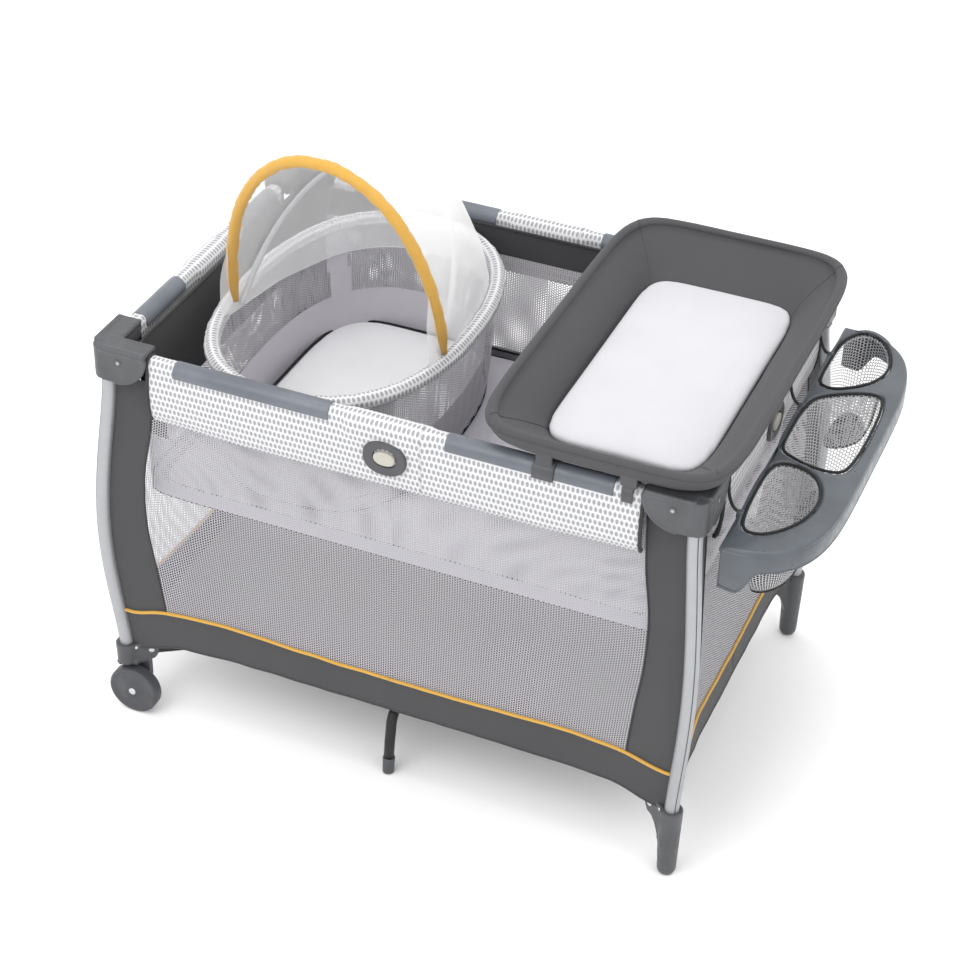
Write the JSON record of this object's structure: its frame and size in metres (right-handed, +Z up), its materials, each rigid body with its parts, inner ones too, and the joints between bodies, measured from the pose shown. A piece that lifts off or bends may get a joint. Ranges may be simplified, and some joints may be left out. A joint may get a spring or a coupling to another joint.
{
  "type": "travel play yard",
  "caption": "Folding play yard with mesh sides, a raised insert, a portable bassinet with canopy, a changing tray and a hanging organizer.",
  "frame": {"origin": "middle of the whole object's footprint, on the floor, standing open with every accessory in place", "axes": "+X towards the end with the feet, the changing tray and the organizer; -X is the wheeled end; +Y towards the back; +Z up"},
  "size_m": [1.177, 0.706, 1.0398],
  "materials": {
    "leg_silver": "satin powder coat",
    "dark_steel": "black powder coat",
    "pin_steel": "bright rivets",
    "cap_plastic": "satin moulded plastic",
    "foot_plastic": "satin moulded plastic",
    "clip_plastic": "satin moulded plastic",
    "tray_plastic": "satin moulded plastic",
    "button_plastic": "satin moulded plastic",
    "wheel_rubber": "moulded wheel",
    "dark_fabric": "woven polyester",
    "mesh_fabric": "open knitted mesh",
    "print_fabric": "white cloth with a small grey oval print",
    "lavender_fabric": "woven polyester",
    "pad_fabric": "soft knitted cover",
    "changer_fabric": "coated woven cloth",
    "canopy_fabric": "thin semi-sheer cloth",
    "bow_fabric": "padded yellow sleeve"
  },
  "bodies": {
    "leg_fl": {"leg_tube_fl": "leg_silver", "corner_cap_fl": "cap_plastic", "wheel_bracket_fl": "foot_plastic", "corner_pins_fl": "pin_steel", "side_fabric_fl": "mesh_fabric"},
    "strut_fl": {"strut_fl": "dark_steel"},
    "leg_fr": {"leg_tube_fr": "leg_silver", "corner_cap_fr": "cap_plastic", "foot_fr": "foot_plastic", "corner_pins_fr": "pin_steel", "side_fabric_fr": "mesh_fabric"},
    "strut_fr": {"strut_fr": "dark_steel"},
    "leg_bl": {"leg_tube_bl": "leg_silver", "corner_cap_bl": "cap_plastic", "wheel_bracket_bl": "foot_plastic", "corner_pins_bl": "pin_steel", "side_fabric_bl": "mesh_fabric"},
    "strut_bl": {"strut_bl": "dark_steel"},
    "leg_br": {"leg_tube_br": "leg_silver", "corner_cap_br": "cap_plastic", "foot_br": "foot_plastic", "corner_pins_br": "pin_steel", "side_fabric_br": "mesh_fabric"},
    "strut_br": {"strut_br": "dark_steel"},
    "hub": {"center_hub": "foot_plastic"},
    "mid_leg_front": {"mid_leg_front": "dark_steel"},
    "mid_leg_back": {"mid_leg_back": "dark_steel"},
    "wheel_fl": {"wheel_fl": "wheel_rubber"},
    "wheel_bl": {"wheel_bl": "wheel_rubber"},
    "rail_front_l": {"rail_front_l": "dark_steel"},
    "rail_front_r": {"rail_front_r": "dark_steel"},
    "rail_back_l": {"rail_back_l": "dark_steel"},
    "rail_back_r": {"rail_back_r": "dark_steel"},
    "rail_left_f": {"rail_left_f": "dark_steel"},
    "rail_left_b": {"rail_left_b": "dark_steel"},
    "rail_right_f": {"rail_right_f": "dark_steel"},
    "rail_right_b": {"rail_right_b": "dark_steel"},
    "latch_front": {"latch_front": "cap_plastic"},
    "button_front": {"button_front": "button_plastic"},
    "latch_back": {"latch_back": "cap_plastic"},
    "button_back": {"button_back": "button_plastic"},
    "latch_left": {"latch_left": "cap_plastic"},
    "button_left": {"button_left": "button_plastic"},
    "latch_right": {"latch_right": "cap_plastic"},
    "button_right": {"button_right": "button_plastic"},
    "insert": {"mattress": "lavender_fabric", "insert_shell": "dark_fabric", "insert_clips": "clip_plastic", "insert_bars": "dark_steel"},
    "bassinet": {"bassinet_rim": "print_fabric", "bassinet_shell": "mesh_fabric", "bassinet_mattress": "pad_fabric", "canopy_fabric": "canopy_fabric"},
    "front_bow": {"canopy_front_bow": "bow_fabric"},
    "rear_bow": {"canopy_rear_bow": "canopy_fabric"},
    "changer": {"changer_frame": "changer_fabric", "changer_shell": "changer_fabric", "changer_pad": "pad_fabric"},
    "organizer": {"organizer_tray": "tray_plastic", "organizer_pockets": "mesh_fabric"}
  },
  "joints": [
    {"name": "fold", "type": "hinge", "parent": "leg_fl", "child": "strut_fl", "pos_m": [-0.52754, -0.30639, 0.122], "axis": [0.5402, -0.8415, 0], "range_deg": [0, 78], "deforming": ["side_fabric_fl", "side_fabric_fr", "side_fabric_bl", "side_fabric_br", "mattress", "insert_shell"]},
    {"name": "hub_level", "type": "hinge", "parent": "strut_fl", "child": "hub", "pos_m": [-0.12254, -0.04639, 0.122], "axis": [0.5402, -0.8415, 0], "range_deg": [-78, 0]},
    {"name": "strut_fr_swing", "type": "hinge", "parent": "hub", "child": "strut_fr", "pos_m": [-0.02586, -0.04639, 0.122], "axis": [0.5402, 0.8415, 0], "range_deg": [0, 78]},
    {"name": "leg_fr_level", "type": "hinge", "parent": "strut_fr", "child": "leg_fr", "pos_m": [0.37914, -0.30639, 0.122], "axis": [0.5402, 0.8415, 0], "range_deg": [-78, 0]},
    {"name": "strut_bl_swing", "type": "hinge", "parent": "hub", "child": "strut_bl", "pos_m": [-0.12254, 0.04639, 0.122], "axis": [-0.5402, -0.8415, 0], "range_deg": [0, 78]},
    {"name": "leg_bl_level", "type": "hinge", "parent": "strut_bl", "child": "leg_bl", "pos_m": [-0.52754, 0.30639, 0.122], "axis": [-0.5402, -0.8415, 0], "range_deg": [-78, 0]},
    {"name": "strut_br_swing", "type": "hinge", "parent": "hub", "child": "strut_br", "pos_m": [-0.02586, 0.04639, 0.122], "axis": [-0.5402, 0.8415, 0], "range_deg": [0, 78]},
    {"name": "leg_br_level", "type": "hinge", "parent": "strut_br", "child": "leg_br", "pos_m": [0.37914, 0.30639, 0.122], "axis": [-0.5402, 0.8415, 0], "range_deg": [-78, 0]},
    {"name": "rail_front_l_swing", "type": "hinge", "parent": "leg_fl", "child": "rail_front_l", "pos_m": [-0.5242, -0.322, 0.713], "axis": [0, 1, 0], "range_deg": [0, 78]},
    {"name": "rail_front_r_swing", "type": "hinge", "parent": "leg_fr", "child": "rail_front_r", "pos_m": [0.3758, -0.322, 0.713], "axis": [0, -1, 0], "range_deg": [0, 78]},
    {"name": "latch_front_level", "type": "hinge", "parent": "rail_front_l", "child": "latch_front", "pos_m": [-0.1192, -0.322, 0.713], "axis": [0, 1, 0], "range_deg": [-78, 0]},
    {"name": "rail_back_l_swing", "type": "hinge", "parent": "leg_bl", "child": "rail_back_l", "pos_m": [-0.5242, 0.322, 0.713], "axis": [0, 1, 0], "range_deg": [0, 78]},
    {"name": "rail_back_r_swing", "type": "hinge", "parent": "leg_br", "child": "rail_back_r", "pos_m": [0.3758, 0.322, 0.713], "axis": [0, -1, 0], "range_deg": [0, 78]},
    {"name": "latch_back_level", "type": "hinge", "parent": "rail_back_l", "child": "latch_back", "pos_m": [-0.1192, 0.322, 0.713], "axis": [0, 1, 0], "range_deg": [-78, 0]},
    {"name": "rail_left_f_swing", "type": "hinge", "parent": "leg_fl", "child": "rail_left_f", "pos_m": [-0.5552, -0.291, 0.713], "axis": [-1, 0, 0], "range_deg": [0, 78]},
    {"name": "rail_left_b_swing", "type": "hinge", "parent": "leg_bl", "child": "rail_left_b", "pos_m": [-0.5552, 0.291, 0.713], "axis": [1, 0, 0], "range_deg": [0, 78]},
    {"name": "latch_left_level", "type": "hinge", "parent": "rail_left_f", "child": "latch_left", "pos_m": [-0.5552, -0.031, 0.713], "axis": [-1, 0, 0], "range_deg": [-78, 0]},
    {"name": "rail_right_f_swing", "type": "hinge", "parent": "leg_fr", "child": "rail_right_f", "pos_m": [0.4068, -0.291, 0.713], "axis": [-1, 0, 0], "range_deg": [0, 78]},
    {"name": "rail_right_b_swing", "type": "hinge", "parent": "leg_br", "child": "rail_right_b", "pos_m": [0.4068, 0.291, 0.713], "axis": [1, 0, 0], "range_deg": [0, 78]},
    {"name": "latch_right_level", "type": "hinge", "parent": "rail_right_f", "child": "latch_right", "pos_m": [0.4068, -0.031, 0.713], "axis": [-1, 0, 0], "range_deg": [-78, 0]},
    {"name": "mid_leg_front_swing", "type": "hinge", "parent": "hub", "child": "mid_leg_front", "pos_m": [-0.0862, -0.056, 0.118], "axis": [1, 0, 0], "range_deg": [0, 90]},
    {"name": "mid_leg_back_swing", "type": "hinge", "parent": "hub", "child": "mid_leg_back", "pos_m": [-0.0622, 0.056, 0.118], "axis": [-1, 0, 0], "range_deg": [0, 90]},
    {"name": "wheel_fl_roll", "type": "hinge", "parent": "leg_fl", "child": "wheel_fl", "pos_m": [-0.5462, -0.336, 0.045], "axis": [0, 1, 0], "continuous": true},
    {"name": "wheel_bl_roll", "type": "hinge", "parent": "leg_bl", "child": "wheel_bl", "pos_m": [-0.5462, 0.336, 0.045], "axis": [0, 1, 0], "continuous": true},
    {"name": "button_front_press", "type": "slide", "parent": "latch_front", "child": "button_front", "axis": [0, 1, 0], "range_m": [0, 0.006], "stiffness_N_per_m": 500, "springref_m": -0.002},
    {"name": "button_back_press", "type": "slide", "parent": "latch_back", "child": "button_back", "axis": [0, -1, 0], "range_m": [0, 0.006], "stiffness_N_per_m": 500, "springref_m": -0.002},
    {"name": "button_left_press", "type": "slide", "parent": "latch_left", "child": "button_left", "axis": [1, 0, 0], "range_m": [0, 0.006], "stiffness_N_per_m": 500, "springref_m": -0.002},
    {"name": "button_right_press", "type": "slide", "parent": "latch_right", "child": "button_right", "axis": [-1, 0, 0], "range_m": [0, 0.006], "stiffness_N_per_m": 500, "springref_m": -0.002},
    {"name": "insert_lift", "type": "slide", "parent": "hub", "child": "insert", "axis": [0, 0, 1], "range_m": [0, 0.2062]},
    {"name": "bassinet_lift", "type": "slide", "parent": "insert", "child": "bassinet", "axis": [0, 0, 1], "range_m": [0, 0.35]},
    {"name": "changer_lift", "type": "slide", "parent": "insert", "child": "changer", "axis": [0, 0, 1], "range_m": [0, 0.2]},
    {"name": "organizer_swing", "type": "hinge", "parent": "insert", "child": "organizer", "pos_m": [0.4068, 0, 0.713], "axis": [0, -1, 0], "range_deg": [0, 25]},
    {"name": "canopy_front", "type": "hinge", "parent": "bassinet", "child": "front_bow", "pos_m": [-0.2742, -0.09, 0.7], "axis": [-1, 0, 0], "range_deg": [0, 80], "deforming": ["canopy_fabric"]},
    {"name": "canopy_rear", "type": "hinge", "parent": "bassinet", "child": "rear_bow", "pos_m": [-0.2742, -0.09, 0.7], "axis": [-1, 0, 0], "range_deg": [0, 32.5]}
  ],
  "couplings": [
    {"joint": "hub_level", "follows": "fold", "ratio": -1},
    {"joint": "strut_fr_swing", "follows": "fold", "ratio": 1},
    {"joint": "leg_fr_level", "follows": "fold", "ratio": -1},
    {"joint": "strut_bl_swing", "follows": "fold", "ratio": 1},
    {"joint": "leg_bl_level", "follows": "fold", "ratio": -1},
    {"joint": "strut_br_swing", "follows": "fold", "ratio": 1},
    {"joint": "leg_br_level", "follows": "fold", "ratio": -1},
    {"joint": "rail_front_l_swing", "follows": "fold", "ratio": 1},
    {"joint": "rail_front_r_swing", "follows": "fold", "ratio": 1},
    {"joint": "latch_front_level", "follows": "fold", "ratio": -1},
    {"joint": "rail_back_l_swing", "follows": "fold", "ratio": 1},
    {"joint": "rail_back_r_swing", "follows": "fold", "ratio": 1},
    {"joint": "latch_back_level", "follows": "fold", "ratio": -1},
    {"joint": "rail_left_f_swing", "follows": "fold", "ratio": 1},
    {"joint": "rail_left_b_swing", "follows": "fold", "ratio": 1},
    {"joint": "latch_left_level", "follows": "fold", "ratio": -1},
    {"joint": "rail_right_f_swing", "follows": "fold", "ratio": 1},
    {"joint": "rail_right_b_swing", "follows": "fold", "ratio": 1},
    {"joint": "latch_right_level", "follows": "fold", "ratio": -1},
    {"joint": "mid_leg_front_swing", "follows": "fold", "ratio": 1.15},
    {"joint": "mid_leg_back_swing", "follows": "fold", "ratio": 1.15},
    {"joint": "insert_lift", "follows": "fold", "m_per_rad": 0.15},
    {"joint": "canopy_rear", "follows": "canopy_front", "ratio": 0.4}
  ]
}
